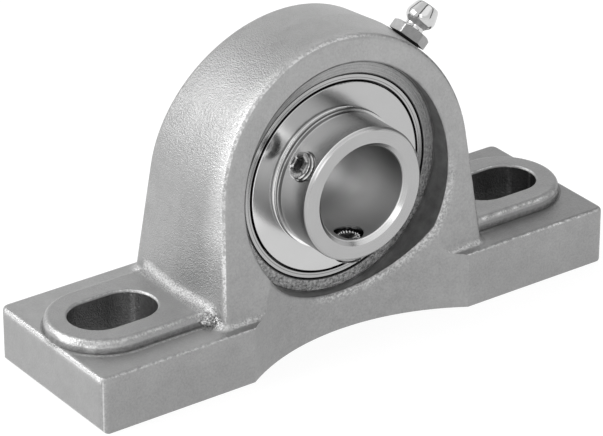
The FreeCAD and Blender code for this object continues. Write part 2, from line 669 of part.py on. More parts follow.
def make_seal(side, place):
    """Steel washer in the outer ring, and the rubber lip moulded to its hole."""
    washer = new_body(f"seal_washer_{place}")
    section = new_sketch(washer, "section")
    outer = "seal_floor + washer_thickness"
    outline(section, flipped([("washer_hole", "seal_floor"), ("seal_radius", "seal_floor"),
                              ("seal_radius", outer), ("washer_hole", outer)], side))
    turned(washer, "ring", section)
    lip = new_body(f"seal_lip_{place}")
    section = new_sketch(lip, "section")
    edge = "inner_land + lip_gap"
    heel = "(washer_hole + inner_land + lip_gap) / 2"
    outline(section, flipped([("washer_hole", "seal_floor"), ("washer_hole", outer), (heel, outer),
                              (edge, f"{outer} + lip_reach"), (edge, f"{outer} + lip_reach - lip_edge"),
                              (heel, "seal_floor")], side))
    turned(lip, "ring", section)
    return [washer, lip]


def make_slinger(side, place):
    """Polished sheet disc on the inner ring: turned-out rim, dished disc, turned-in edge."""
    body = new_body(f"slinger_{place}")
    section = new_sketch(body, "section")
    edge_face = "outer_width / 2 + slinger_stand"
    disc_face = f"{edge_face} - slinger_dish"
    rim_end = f"{disc_face} + slinger_rim"
    wide_bend = "slinger_bend + slinger_sheet"
    rim_outside = "inner_land + slinger_sheet"
    corners = [("inner_land", rim_end), ("inner_land", f"{disc_face} + slinger_bend", wide_bend, 1),
               (f"inner_land + {wide_bend}", f"{disc_face} - slinger_sheet"),
               ("slinger_radius - slinger_sheet", f"{edge_face} - slinger_sheet"),
               ("slinger_radius - slinger_sheet", f"{edge_face} - slinger_skirt"),
               ("slinger_radius", f"{edge_face} - slinger_skirt"),
               ("slinger_radius", f"{edge_face} - slinger_bend", "slinger_bend", 1),
               ("slinger_radius - slinger_bend", edge_face),
               (f"{rim_outside} + slinger_bend", disc_face, "slinger_bend", -1),
               (rim_outside, f"{disc_face} + slinger_bend"), (rim_outside, rim_end)]
    outline(section, flipped(corners, side))
    turned(body, "disc", section)
    return body


def make_cage_half(side, place):
    """Pressed half of the cage: a flat ribbon with a round pocket over each ball."""
    body = new_body(f"cage_{place}")
    inner, outer = "pitch_radius - cage_half_band", "pitch_radius + cage_half_band"
    band = new_sketch(body, "band_section")
    outline(band, flipped([(inner, 0), (outer, 0), (outer, "cage_sheet"), (inner, "cage_sheet")], side))
    turned(body, "band", band)
    clear = "dome_radius + 1"
    ends = (("pitch_radius", f"-({clear})"), ("pitch_radius", clear))
    dome = axis_turn(body, "dome", ball_corners("dome_radius"), *ends)
    round_about(body, "domes", dome, "ball_count")
    for name, left, right, low, high in (
            ("outer_trim", outer, f"pitch_radius + {clear}", f"-({clear})", clear),
            ("inner_trim", f"pitch_radius - ({clear})", inner, f"-({clear})", clear),
            ("other_half", f"pitch_radius - ({clear})", f"pitch_radius + {clear}",
             f"{-side} * ({clear})" if side > 0 else 0, 0 if side > 0 else clear)):
        trim = new_sketch(body, f"{name}_section")
        box(trim, left, right, low, high)
        turned(body, name, trim, kind="Groove")
    pocket = axis_turn(body, "pocket", ball_corners("pocket_radius"), *ends, kind="Groove")
    round_about(body, "pockets", pocket, "ball_count")
    hole = axis_turn(body, "rivet_hole",
                     [("pitch_radius", "-cage_sheet - 1"), ("pitch_radius + rivet_radius", "-cage_sheet - 1"),
                      ("pitch_radius + rivet_radius", "cage_sheet + 1"), ("pitch_radius", "cage_sheet + 1")],
                     *ends, kind="Groove", turn="180 / ball_count")
    round_about(body, "rivet_holes", hole, "ball_count")
    return body


def make_rivets():
    """The cage's rivets, headed at both ends, as one group."""
    body = new_body("cage_rivets")
    body.AllowCompound = True
    crown = "cage_sheet + rivet_head_height"
    dome = "(rivet_head_radius ^ 2 + rivet_head_height ^ 2) / (2 * rivet_head_height)"
    head, shank = "pitch_radius + rivet_head_radius", "pitch_radius + rivet_radius"
    rivet = axis_turn(body, "rivet",
                      [("pitch_radius", f"-({crown})", dome, 1), (head, "-cage_sheet"),
                       (shank, "-cage_sheet"), (shank, "cage_sheet"),
                       (head, "cage_sheet", dome, 1), ("pitch_radius", crown)],
                      ("pitch_radius", f"-({crown}) - 1"), ("pitch_radius", f"{crown} + 1"),
                      turn="180 / ball_count")
    round_about(body, "rivets", rivet, "ball_count")
    return body


def make_ball(count):
    ball = doc.addObject("Part::Sphere", f"ball_{count + 1}")
    angle = f"{count} * 360 / ball_count * 1 deg"
    tie(ball, Radius="ball_radius", Placement__Base__x=f"pitch_radius * cos({angle})",
        Placement__Base__z=f"pitch_radius * sin({angle})")
    return ball


pieces = [make_housing(), make_nipple(), make_check_ball(), make_check_spring(),
          make_outer_ring(), make_inner_ring(), make_rivets()]
for side, place in ((-1, "front"), (1, "back")):
    pieces += [*make_seal(side, place), make_slinger(side, place), make_cage_half(side, place)]
pieces += [make_set_screw(count) for count in range(2)]
pieces += [make_ball(count) for count in range(int(number("ball_count")))]
doc.recompute()

for item in doc.Objects:
    if "Invalid" in item.State or "Error" in item.State:
        raise RuntimeError(f"{item.Name} failed: {item.State}")
for piece in pieces:
    if piece.Shape.isNull() or not piece.Shape.isValid():
        raise RuntimeError(f"{piece.Label} has no sound shape")

os.makedirs("parts", exist_ok=True)
for piece in pieces:
    piece.Shape.exportStep(f"parts/{piece.Label}.step")
    print(f"{piece.Label}: {piece.Shape.Volume:.1f} mm3, {len(piece.Shape.Solids)} solid(s)")
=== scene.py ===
import math

import bpy
import numpy as np
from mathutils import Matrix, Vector


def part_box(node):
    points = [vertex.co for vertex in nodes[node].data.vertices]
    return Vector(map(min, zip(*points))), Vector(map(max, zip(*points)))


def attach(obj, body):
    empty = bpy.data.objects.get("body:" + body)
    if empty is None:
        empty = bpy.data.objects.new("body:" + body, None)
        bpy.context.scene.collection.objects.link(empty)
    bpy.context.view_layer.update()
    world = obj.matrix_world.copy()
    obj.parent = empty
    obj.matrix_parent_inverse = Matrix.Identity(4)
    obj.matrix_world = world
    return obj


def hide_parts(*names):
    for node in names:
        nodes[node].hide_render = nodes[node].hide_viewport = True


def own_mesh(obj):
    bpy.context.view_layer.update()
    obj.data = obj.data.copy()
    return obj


# Foot-mounted bearing unit in blasted cast stainless steel, seen from the front left and above.
# The origin is the middle of the bearing, +X runs along the base, +Z is up, and the collar
# with the set screws looks towards -Y. Lengths are in metres, and MM is one millimetre.

MM = 0.001

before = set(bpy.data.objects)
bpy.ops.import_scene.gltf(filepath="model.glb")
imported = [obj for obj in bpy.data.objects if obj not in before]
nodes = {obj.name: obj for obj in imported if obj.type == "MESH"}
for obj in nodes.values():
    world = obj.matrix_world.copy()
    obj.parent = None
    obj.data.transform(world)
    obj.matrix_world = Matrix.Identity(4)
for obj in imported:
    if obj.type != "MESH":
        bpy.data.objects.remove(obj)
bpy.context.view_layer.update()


# Measures of the solids that the finishes and the new pieces share, in millimetres and degrees

# Heights and ends of the feet and their pads. A pad's rounded end is drawn about PAD_BEND.
FOOT_TOP = -21.1
FOOT_END = 62.0
PAD_TOP = -18.5
PAD_START = 33.5
PAD_BEND = 49.8
PAD_HALF_WIDTH = 11.9

# The slots, from their own middles
SLOT_MIDDLE = 47.5
SLOT_HALF_LENGTH = 9.5
SLOT_HALF_WIDTH = 6.25

# Radii round the shaft's axis, and how far the collar stands in front of the middle
RECESS = 24.6
SEAT_MOUTH = 21.9
COLLAR = 14.2
BORE = 10.0
COLLAR_END = 18.3

# The lines out of the shaft's axis that the set screws and the nipple lie on, how far in front they
# are, and where the screws' tips and the hexagon's underside lie on them
SCREW_ANGLES = (146.0, 266.0)
SCREW_LEVEL = 14.1
SCREW_TIP = 10.4
SCREW_LENGTH = 5.0
NIPPLE_ANGLE = 45.0
NIPPLE_FORWARD = 2.4
NIPPLE_SEAT = 31.4
CHAMBER_FLOOR = 4.7

# Where metal was spilt on the casting
LUMP_PLACE = (-32.6, -12.4, -20.5)


# Shader maths

class Value:
    """A socket that carries a number. Python's operators on it add Math nodes."""

    def __init__(self, finish, socket):
        self.finish = finish
        self.socket = socket

    def math(self, operation, *terms):
        node = self.finish.node("ShaderNodeMath", {"operation": operation}, dict(enumerate(terms)))
        return Value(self.finish, node.outputs[0])

    def __add__(self, other):
        return self.math("ADD", self, other)

    def __radd__(self, other):
        return self.math("ADD", other, self)

    def __sub__(self, other):
        return self.math("SUBTRACT", self, other)

    def __rsub__(self, other):
        return self.math("SUBTRACT", other, self)

    def __mul__(self, other):
        return self.math("MULTIPLY", self, other)

    def __rmul__(self, other):
        return self.math("MULTIPLY", other, self)

    def __truediv__(self, other):
        return self.math("DIVIDE", self, other)

    def __pow__(self, other):
        return self.math("POWER", self, other)

    def __neg__(self):
        return self.math("MULTIPLY", self, -1.0)

    def __abs__(self):
        return self.math("ABSOLUTE", self)

    def larger(self, other):
        return self.math("MAXIMUM", self, other)

    def smaller(self, other):
        return self.math("MINIMUM", self, other)

    def root(self):
        return self.math("SQRT", self)

    def rise(self, low, high):
        """0 below low, 1 above high, and a smooth step between them."""
        node = self.finish.node("ShaderNodeMapRange", {"interpolation_type": "SMOOTHSTEP"},
                                {"Value": self, "From Min": low, "From Max": high})
        return Value(self.finish, node.outputs["Result"])

    def fall(self, low, high):
        """1 below low, 0 above high, and a smooth step between them."""
        return 1.0 - self.rise(low, high)

    def swing(self, amount):
        """Noise between 0 and 1 made a change round 0: half this amount up and half of it down."""
        return amount * (self - 0.5)

    def less(self, share, mask):
        """The number with this share of it taken off where the mask is 1."""
        return self * (1.0 - share * mask)


class Finish:
    """The nodes of a new material or world, made one by one."""

    def __init__(self, owner):
        self.owner = owner
        owner.use_nodes = True
        self.tree = owner.node_tree
        self.tree.nodes.clear()
        self.place = self.node("ShaderNodeTexCoord", {}, {})

    def node(self, kind, settings, sockets):
        """One node of this kind: its settings first, then the values or links of its sockets."""
        made = self.tree.nodes.new(kind)
        for name, setting in settings.items():
            setattr(made, name, setting)
        for name, value in sockets.items():
            if isinstance(value, Value):
                value = value.socket
            if isinstance(value, bpy.types.NodeSocket):
                self.tree.links.new(value, made.inputs[name])
            else:
                made.inputs[name].default_value = value
        return made

    def parts(self, kind):
        """The X, Y and Z of one of the place's vectors, such as the piece's own normal."""
        split = self.node("ShaderNodeSeparateXYZ", {}, {0: self.place.outputs[kind]})
        return [Value(self, output) for output in split.outputs]

    def millimetres(self):
        """X, Y and Z on the piece, in millimetres."""
        return [part / MM for part in self.parts("Object")]

    def grain(self, size, detail=2.0, roughness=0.5, shift=(0.0, 0.0, 0.0)):
        """Noise from 0 to 1 with lumps about this many millimetres wide."""
        mapped = self.node("ShaderNodeMapping", {},
                           {"Vector": self.place.outputs["Object"], "Location": shift})
        made = self.node("ShaderNodeTexNoise", {"noise_dimensions": "3D"},
                         {"Vector": mapped.outputs[0], "Scale": 1.0 / (size * MM),
                          "Detail": detail, "Roughness": roughness})
        return Value(self, made.outputs[0])

    def line_grain(self, coordinate, size):
        """Noise along one number only, in lines about this many millimetres wide."""
        made = self.node("ShaderNodeTexNoise", {"noise_dimensions": "1D"},
                         {"W": coordinate, "Scale": 1.0 / size, "Detail": 2.0})
        return Value(self, made.outputs[0])

    def grey(self, level):
        """A neutral colour of this level, which may change over the surface."""
        made = self.node("ShaderNodeCombineColor", {}, {0: level, 1: level, 2: level})
        return made.outputs[0]

    def turned(self, turn_x, turn_y, turn_z):
        """A normal given by its parts on the piece, made one long and turned to the scene."""
        parts = self.node("ShaderNodeCombineXYZ", {}, {0: turn_x, 1: turn_y, 2: turn_z})
        even = self.node("ShaderNodeVectorMath", {"operation": "NORMALIZE"}, {0: parts.outputs[0]})
        made = self.node("ShaderNodeVectorTransform",
                         {"vector_type": "NORMAL", "convert_from": "OBJECT", "convert_to": "WORLD"},
                         {0: even.outputs[0]})
        return made.outputs[0]

    def bumps(self, height, depth, normal=None):
        """The normal bent by a height from 0 to 1 that stands for this depth in millimetres."""
        sockets = {"Height": height, "Distance": depth * MM}
        if normal is not None:
            sockets["Normal"] = normal
        made = self.node("ShaderNodeBump", {}, sockets)
        return made.outputs[0]

    def surface(self, shade, rough, normal, metallic=1.0):
        """The shader itself, a grey of this shade, and the material's output."""
        shader = self.node("ShaderNodeBsdfPrincipled", {},
                           {"Base Color": self.grey(shade), "Metallic": metallic, "Roughness": rough,
                            "Normal": normal})
        self.node("ShaderNodeOutputMaterial", {}, {"Surface": shader.outputs[0]})
        return self.owner


# Places on the pieces, in millimetres

def new_finish(name):
    """The start of a new material."""
    return Finish(bpy.data.materials.new(name))


def shaft_distance(x, z):
    """How far a point lies from the shaft's axis."""
    return (x * x + z * z).root()


def near_point(x, y, z, spot, reach):
    """1 at a spot, falling to 0 at this distance from it."""
    away = ((x - spot[0]) ** 2.0 + (y - spot[1]) ** 2.0 + (z - spot[2]) ** 2.0).root()
    return away.fall(0.15 * reach, reach)


def along_line(x, z, degrees):
    """How far beside a line out of the shaft's axis, and how far along it."""
    turn = math.radians(degrees)
    return x * math.sin(turn) - z * math.cos(turn), x * math.cos(turn) + z * math.sin(turn)


def about_spoke(x, y, z, degrees, forward):
    """Distance from a line out of the shaft's axis, this far in front, and height along that line."""
    beside, height = along_line(x, z, degrees)
    return (beside * beside + (y + forward) ** 2.0).root(), height


# The casting's finish

class Casting:
    """The casting's zones, which its tones, roughness and bumps share. Each zone is 1 there and 0
    elsewhere, from the place on the casting and the way its surface looks."""

    def __init__(self, finish):
        x, y, z = finish.millimetres()
        turn_x, turn_y, turn_z = finish.parts("Normal")
        across = shaft_distance(x, z)
        self.x, self.y, self.z, self.across = x, y, z, across
        self.turn_x, self.turn_y, self.turn_z = turn_x, turn_y, turn_z

        self.fine = finish.grain(0.26, detail=1.0)
        self.pits = finish.grain(0.50, roughness=0.6, shift=(0.3, 0.1, 0.7))
        self.blots = finish.grain(0.95, roughness=0.6, shift=(0.9, 0.5, 0.2))
        self.soft = finish.grain(2.2, shift=(0.7, 0.2, 0.4))
        self.broad = finish.grain(11.0, detail=1.0, shift=(0.2, 0.8, 0.1))
        self.lines = finish.line_grain(across, 0.22)
        self.chips = (0.5 * self.pits + 0.5 * self.blots).rise(0.43, 0.57)

        self.facing = abs(turn_y)
        self.steep = abs(turn_z).fall(0.30, 0.60)
        self.level = turn_z.rise(0.80, 0.95)
        around = shaft_distance(turn_x, turn_z)
        upright = z.rise(PAD_TOP - 0.5, PAD_TOP + 0.5)
        self.feet = 1.0 - upright

        inside = across.fall(RECESS + 0.3, RECESS + 0.6) * z.rise(-RECESS - 1.4, -RECESS - 0.4)
        past_mouth = across.rise(SEAT_MOUTH + 0.10, SEAT_MOUTH + 0.25)
        at_wall = across.rise(RECESS - 0.3, RECESS - 0.1)
        self.crevice = inside * (1.0 - past_mouth)
        self.step = inside * past_mouth * (1.0 - at_wall)
        self.wall = inside * at_wall
        self.side = around.rise(0.80, 0.95) * upright * (1.0 - inside)

        slot_length = abs(abs(x) - SLOT_MIDDLE).fall(SLOT_HALF_LENGTH - 0.05, SLOT_HALF_LENGTH + 0.10)
        slot_width = abs(y).fall(SLOT_HALF_WIDTH + 0.03, SLOT_HALF_WIDTH + 0.15)
        self.slot = slot_length * slot_width * z.fall(PAD_TOP - 0.7, PAD_TOP - 0.3)
        beyond_bend = (abs(x) - PAD_BEND).larger(0.0)
        self.from_pad = (beyond_bend * beyond_bend + y * y).root() - PAD_HALF_WIDTH
        pad_length = abs(x).fall(FOOT_END - 1.0, FOOT_END - 0.5)
        self.pad_band = self.steep * pad_length * abs(y).fall(PAD_HALF_WIDTH + 0.6, PAD_HALF_WIDTH + 1.6)
        root_height = z.fall(PAD_TOP + 0.9, PAD_TOP + 2.3) * z.rise(FOOT_TOP - 0.7, FOOT_TOP - 0.2)
        root_length = x.rise(-35.4, -34.4) * x.fall(-32.0, -31.0)
        self.root = root_height * root_length * abs(y).fall(11.8, 12.6)
        self.lump = near_point(x, y, z, LUMP_PLACE, 4.0)

        self.rim = upright * around.fall(0.80, 0.985) * around.rise(0.45, 0.60) * y.fall(2.0, 8.0)
        self.long_edge = self.feet * self.facing.larger(abs(turn_z)).fall(0.76, 0.97) * (1.0 - abs(turn_x))
        end_edge = self.feet * abs(turn_x).larger(abs(turn_z)).fall(0.86, 0.995) * (1.0 - self.facing)
        edge = self.rim.larger(0.4 * end_edge).larger(self.long_edge)
        self.edge = edge * (1.0 - inside) * (turn_x * x).rise(-4.0, -1.5)


def worn_and_lit_edges(at):
    """Edges rubbed bright in chips, partly wear and partly painted highlight, bright whole as a painted
    highlight at the feet's upright corners, and darkened by painted shade where they look right."""
    corner = abs(at.turn_x).larger(at.facing).fall(0.73, 0.79) * abs(at.turn_z).fall(0.1, 0.3)
    # Wear and painted highlight: chipped bright edges, and bright upright corners of the feet
    worn_and_lit = at.edge * (0.15 + 0.85 * at.chips) + corner * at.feet
    # Painted shade: edges that look right turn darker than the faces beside them
    worn_and_lit = worn_and_lit * (1.0 - 1.7 * at.turn_x.rise(0.05, 0.40))
    return worn_and_lit + at.long_edge * at.x.rise(32.0, 36.0) * (0.4 * at.blots + 0.6 * at.soft).rise(0.50, 0.60)


def sheen_and_pale_zones(at):
    """Paler tone: a painted sheen beside the left flank's front edge, a painted highlight with chipped wear
    along that edge low down, and paler speckle on the recess's lower lip and in the left pad's root."""
    # Painted sheen on the flanks that look left, near their front edge, weaker low down and a little weaker
    # high up
    band = at.side * at.y.fall(-13.0, -6.0) * (1.0 - 1.3 * at.turn_x.rise(0.0, 0.3))
    band = band * (0.7 + 0.3 * at.pits.rise(0.35, 0.65)) * (1.0 - 0.25 * at.z.rise(2.0, 20.0))
    band = band * (0.2 + 0.8 * at.z.rise(-15.0, -2.0))
    # Painted highlight with chipped wear along the rim, low on the left
    low_line = at.rim * at.x.fall(-20.0, -10.0) * at.z.fall(-8.0, 4.0) * (0.45 + 0.55 * at.chips)
    lip = at.across.rise(RECESS, RECESS + 0.3) * at.across.fall(RECESS + 0.7, RECESS + 2.4)
    lip = lip * at.x.rise(-9.0, -2.0) * at.z.fall(-9.0, 2.0) * at.pits.rise(0.42, 0.62)
    root_light = at.root * (0.22 * at.fine.rise(0.35, 0.65) - 0.02)
    return 0.26 * band + 0.20 * low_line + 0.20 * lip + root_light


def painted_light_slopes(at):
    """Painted light and shade in slow slopes of tone: the front paler high up and darker low down, the pads'
    tops darker, the feet's tops paler on the left and darker on the right, and the crown's sides paler at
    their very top, darker higher up on the left and a little paler at middle height.
    """
    right = at.x.rise(20.0, 40.0)
    # Painted light and shade: the front paler high up and darker low down
    front = at.facing * (0.08 * at.z.rise(-34.0, 28.0) - 0.05 + at.pits.swing(0.05))
    # Painted shade on the pads' tops, and painted light and shade on the feet's tops, darker towards the
    # right
    pad_top = at.level * at.z.fall(PAD_TOP + 1.0, PAD_TOP + 2.0)
    foot_top = at.level * at.z.fall(FOOT_TOP + 0.3, FOOT_TOP + 0.9)
    # Painted light and shade on the crown's sides
    high = at.z.rise(4.0, 20.0) * at.x.fall(-14.0, -6.0)
    middle = at.z.fall(-4.0, 6.0) * at.z.rise(-8.0, -2.0)
    flank = 0.03 * at.z.rise(24.0, 30.0) - 0.035 * (high - 0.4 * middle)
    return front - pad_top * (0.03 + 0.03 * right) + foot_top * (0.05 - 0.09 * right) + at.side * flank


def step_grain_and_painted_light(at):
    """The seat's step, speckled low down and with turning lines higher up, with painted light and shade: a
    little paler low down, darker higher up, towards the right and at the upper left.
    """
    high = at.z.rise(-10.0, 8.0)
    speckle = (1.0 - high) * at.pits.swing(1.0) + high * at.lines.swing(0.5)
    # Painted light and shade on the step: paler low down, darker high up, on the right and at the upper left
    light = 0.04 - 0.05 * at.z.rise(-6.0, 12.0) - 0.05 * at.x.rise(4.0, 20.0)
    light = light - 0.10 * at.x.fall(-12.0, -2.0) * at.z.rise(-10.0, 2.0)
    return at.step * (0.8 * speckle + light)


def pad_shade_and_pale_line(at):
    """Painted shade in a dark crease at the pads' feet, a pale line outside it in front of the left pad, and
    painted shade in a dark fold halfway up the right pad's flank."""
    on_foot = abs(at.x).rise(PAD_START, PAD_START + 1.0) * at.z.rise(FOOT_TOP - 1.3, FOOT_TOP - 0.5)
    on_foot = on_foot * at.z.fall(FOOT_TOP + 0.9, FOOT_TOP + 1.2)
    # Painted shade in the crease at the pad's foot
    crease = on_foot * abs(at.from_pad).fall(0.20, 0.42) * (0.6 + 0.4 * at.chips)
    seam = on_foot * abs(at.from_pad - 0.80).fall(0.22, 0.45) * at.y.fall(-9.0, -5.0)
    seam = seam * (0.4 + 0.6 * at.chips) * at.x.fall(30.0, 40.0)
    # Painted shade in the fold halfway up the right pad's flank
    fold = at.x.rise(30.0, 40.0) * at.pad_band * (at.from_pad + 1.5).rise(0.0, 0.3)
    fold = fold * abs(at.z - 0.5 * (FOOT_TOP + PAD_TOP)).fall(0.15, 0.35)
    return crease, seam, fold


def casting_shade(at, worn_and_lit):
    """The casting's grey: an even grain, paler and darker zones from wear, painted highlight and painted
    light and shade, and painted shade in its hollows.
    """
    from_nipple, height = about_spoke(at.x, at.y, at.z, NIPPLE_ANGLE, NIPPLE_FORWARD)
    # Where a painted shadow lies round the nipple's port, under its hexagon
    port_shadow = from_nipple.fall(4.4, 4.9) * height.rise(24.0, 26.0)
    crease, seam, fold = pad_shade_and_pale_line(at)
    shade = 0.37 + at.fine.swing(0.05) + at.pits.swing(0.10)
    shade = shade + at.soft.swing(0.06) + at.broad.swing(0.06)
    shade = shade + 0.20 * worn_and_lit + sheen_and_pale_zones(at) + painted_light_slopes(at) + step_grain_and_painted_light(at)
    # Painted shade on the recess's wall, darker deeper in, and in the crevice round the insert
    shade = shade.less(0.27, at.wall * at.y.rise(-16.5, -8.0)).less(0.86, at.crevice)
    # Painted shade in the slots, darker in the right slot and most at its outer end
    shade = shade * (1.0 - at.slot * (0.56 + 0.14 * at.x.rise(30.0, 40.0) + 0.14 * at.x.rise(50.0, 56.0)))
    # Painted shadow round the nipple's port, and painted shade on the rim where it looks right and up
    shade = shade.less(0.90, port_shadow).less(0.40, at.rim * at.turn_x.rise(0.3, 0.6) * at.turn_z.rise(0.2, 0.5))
    shade = shade + 0.30 * seam + at.lump * (0.34 * at.chips - 0.08)
    # Painted shade in the crease and the fold; the wall's tone also varies at random
    return shade.less(0.45, crease).less(0.28, fold) * (1.0 + at.wall * at.soft.swing(0.6))


def casting_height(at):
    """The casting's bumps: finer on its sides, coarse on the step, the edges and the lumps."""
    coarse = 0.5 + 0.55 * at.side + 1.2 * at.step * (1.0 - 0.6 * at.z.rise(-10.0, 8.0))
    coarse = coarse + at.edge.larger(at.root) * at.feet + 0.3 * at.rim + 0.8 * at.slot + 1.5 * at.lump
    bumps = coarse * ((0.7 + 0.25 * at.side) * at.fine + (1.0 - 0.4 * at.side) * at.pits)
    return (bumps + 0.15 * at.soft * (1.0 + 8.0 * at.lump)).less(0.85, at.wall)


def eased_normal(finish, at):
    """The normal laid level over the crown's middle line and bent up round the pads' flanks and at the
    feet's ends, which the casting rounds off softly."""
    ridge = at.side * abs(at.y).fall(0.0, 11.0)
    flank = at.pad_band * abs(at.x).rise(PAD_START, PAD_START + 1.0) * (1.0 - at.slot)
    flank = flank * at.z.rise(FOOT_TOP + 0.1, PAD_TOP - 0.1)
    foot_end = at.steep * abs(at.x).rise(FOOT_END - 0.5, FOOT_END - 0.1)
    foot_end = foot_end * at.z.rise(FOOT_TOP - 2.3, FOOT_TOP - 0.3)
    return finish.turned(at.turn_x, at.turn_y * (1.0 - ridge), at.turn_z + flank + 0.7 * foot_end)


def cast_stainless():
    """Blasted casting: grainy on its drafted sides and smoother in front, brighter on rubbed edges that also
    carry a painted highlight, coarse on the seat's step, with painted light and shade in slow slopes over
    its faces, and with painted shade in the slots, under the nipple and round the insert."""
    finish = new_finish("cast_stainless")
    at = Casting(finish)
    worn_and_lit = worn_and_lit_edges(at)
    rough = 0.46 + at.pits.swing(0.12) - 0.10 * worn_and_lit + 0.10 * at.step - 0.08 * at.wall + 0.22 * at.root
    normal = finish.bumps(casting_height(at), 0.12, eased_normal(finish, at))
    return finish.surface(casting_shade(at, worn_and_lit), rough, normal)


# The other finishes

def ring_steel():
    """Ground bearing steel with fine turning lines round the shaft. Painted shade makes it darker in the gap
    round the slinger, in the face's fine groove, at the tapped holes, deep in the bore, low on the collar
    and at its upper right; painted light makes the collar's top and the bore's lower part paler, and a
    painted highlight makes it paler at the lower right of the bore's mouth."""
    finish = new_finish("ring_steel")
    x, y, z = finish.millimetres()
    across = shaft_distance(x, z)
    forward = -y
    turned_lines = finish.line_grain(across + 1.7 * y, 0.16)
    smear = finish.grain(5.0, detail=1.0)

    groove = abs(across - 20.98).fall(0.03, 0.10) * abs(y).rise(8.3, 8.4)
    gap = (across.rise(18.0, 18.2) * across.fall(20.54, 20.62)).larger(across.rise(21.62, 21.70))
    bore = across.fall(BORE + 0.10, BORE + 0.20)
    bevel = across.fall(BORE + 0.85, BORE + 0.95) * forward.rise(COLLAR_END - 0.9, COLLAR_END - 0.7)
    collar = across.rise(COLLAR - 0.2, COLLAR - 0.1) * across.fall(COLLAR + 0.1, COLLAR + 0.4)
    collar = collar * forward.rise(9.3, 9.6)
    collar_foot = collar * forward.fall(9.9, 10.2)
    rim = across.rise(COLLAR - 0.50, COLLAR - 0.35) * forward.rise(COLLAR_END - 0.6, COLLAR_END - 0.5)
    holes = 1.0
    for degrees in SCREW_ANGLES:
        from_screw, height = about_spoke(x, y, z, degrees, SCREW_LEVEL)
        holes = holes * (from_screw.rise(3.05, 3.25) + height.fall(9.0, 10.5)).smaller(1.0)

    low_right = (0.75 * x - 0.66 * z).rise(1.0, 9.0)
    upper_right = 0.12 * x.rise(0.0, 8.0) + 0.22 * x.rise(-4.0, 4.0) * z.rise(4.0, 10.0)
    shade = 0.42 + turned_lines.swing(0.05) + smear.swing(0.04)
    # Painted light and shade on the collar: paler at the top and darker low down, less so towards the lower
    # right
    shade = shade + collar * (0.40 * z.rise(-6.0, 9.0) - 0.28 * (1.0 - 0.8 * low_right))
    # Painted light and shade in the bore: paler low down, darker at the top
    shade = shade + bore * (0.28 - 0.47 * z.rise(-6.0, 5.0))
    # Painted shade in the fine groove, the gap round the slinger, at the collar's foot and at the mouths of
    # the tapped holes
    shade = shade.less(0.55, groove).less(0.90, gap).less(0.80, collar_foot) * (0.25 + 0.75 * holes)
    # Painted shade deep in the bore
    shade = shade.less(0.70, bore * y.rise(-11.0, 0.0))
    # Painted shade at the collar's upper right and on its end's rim towards the right
    shade = shade - collar * upper_right * (1.0 - low_right) - 0.26 * rim * x.rise(-2.0, 6.0)
    # Painted highlight at the lower right of the bore's mouth
    shade = shade + 0.12 * bevel * x.rise(-3.0, 5.0) * z.fall(-6.0, 0.0)
    rough = 0.24 + turned_lines.swing(0.08) + smear.swing(0.05) + 0.22 * bore + 0.14 * rim
    return finish.surface(shade, rough, finish.bumps(turned_lines, 0.004))


def slinger_steel():
    """Bright rolled sheet, pressed to shape, with painted light and shade: a cut end that is pale on the
    left, dark beside it and round the outer bend, an inner bend paler on the left and darker on the right,
    the sheet darker towards the upper right and paler at the left, and a painted dark reflection of the
    first set screw."""
    finish = new_finish("slinger_steel")
    x, y, z = finish.millimetres()
    across = shaft_distance(x, z)
    smear = finish.grain(4.0, detail=1.0)
    fine = finish.grain(0.5, detail=1.0)

    bend = across.rise(19.98, 20.08)
    cut_end = abs(y).rise(9.50, 9.56)
    neck = across.fall(14.78, 14.95) * (1.0 - cut_end)
    neck_end = neck * abs(y).rise(8.78, 9.02)
    beside_screw, height = along_line(x, z, SCREW_ANGLES[0] - 4.0)
    # Where the painted dark reflection of the first set screw lies
    painted_screw_reflection = abs(beside_screw).fall(0.9, 2.8) * height.rise(14.9, 15.4)

    shade = 0.56 + smear.swing(0.03) + fine.swing(0.02)
    # Painted highlight on the cut end, on the left
    shade = shade + 0.40 * cut_end * (1.0 - 0.9 * x.rise(-3.0, 4.0))
    # Painted light and shade: darker towards the upper right, paler at the left
    shade = shade - 0.10 * (x + z).rise(0.0, 22.0) + 0.24 * x.fall(-17.0, -10.0) * z.rise(-8.0, 0.0)
    # Painted dark reflection of the first set screw
    shade = shade.less(0.50, painted_screw_reflection * (0.7 + 0.6 * smear))
    # Painted light and shade on the inner bend: paler on the left, darker on the right
    shade = shade + (0.14 - 0.30 * x.rise(-2.0, 6.0)) * (neck - neck_end)
    # Painted shade round the outer bend and beside the cut end
    shade = shade.less(0.85, bend).less(0.75, neck_end)
    rough = 0.19 + smear.swing(0.04) + fine.swing(0.03)
    return finish.surface(shade, rough, finish.bumps(fine, 0.0015))


def screw_steel():
    """Turned screw steel with painted shade in the sockets, the cups and the roots of the threads."""
    finish = new_finish("screw_steel")
    x, y, z = finish.millimetres()
    uneven = finish.grain(0.5)
    dark = 0.0
    for degrees in SCREW_ANGLES:
        from_screw, height = about_spoke(x, y, z, degrees, SCREW_LEVEL)
        above_tip = height - SCREW_TIP
        socket = from_screw.fall(1.60, 1.75) * above_tip.rise(2.0, 2.2)
        cup = from_screw.fall(1.60, 1.80) * above_tip.fall(1.0, 1.2)
        thread_root = from_screw.rise(2.30, 2.40) * from_screw.fall(2.62, 2.86)
        thread_root = thread_root * above_tip.fall(SCREW_LENGTH - 0.2, SCREW_LENGTH - 0.1)
        near = from_screw.fall(4.0, 5.0) * height.rise(8.0, 9.0)
        # Painted shade in the socket, the cup and the roots of the thread
        dark = near * (0.48 * socket + 0.50 * cup + 0.78 * thread_root) + dark
    shade = (0.66 + uneven.swing(0.12)) * (1.0 - dark.smaller(0.9))
    return finish.surface(shade, 0.20 + uneven.swing(0.08), finish.bumps(uneven, 0.002))


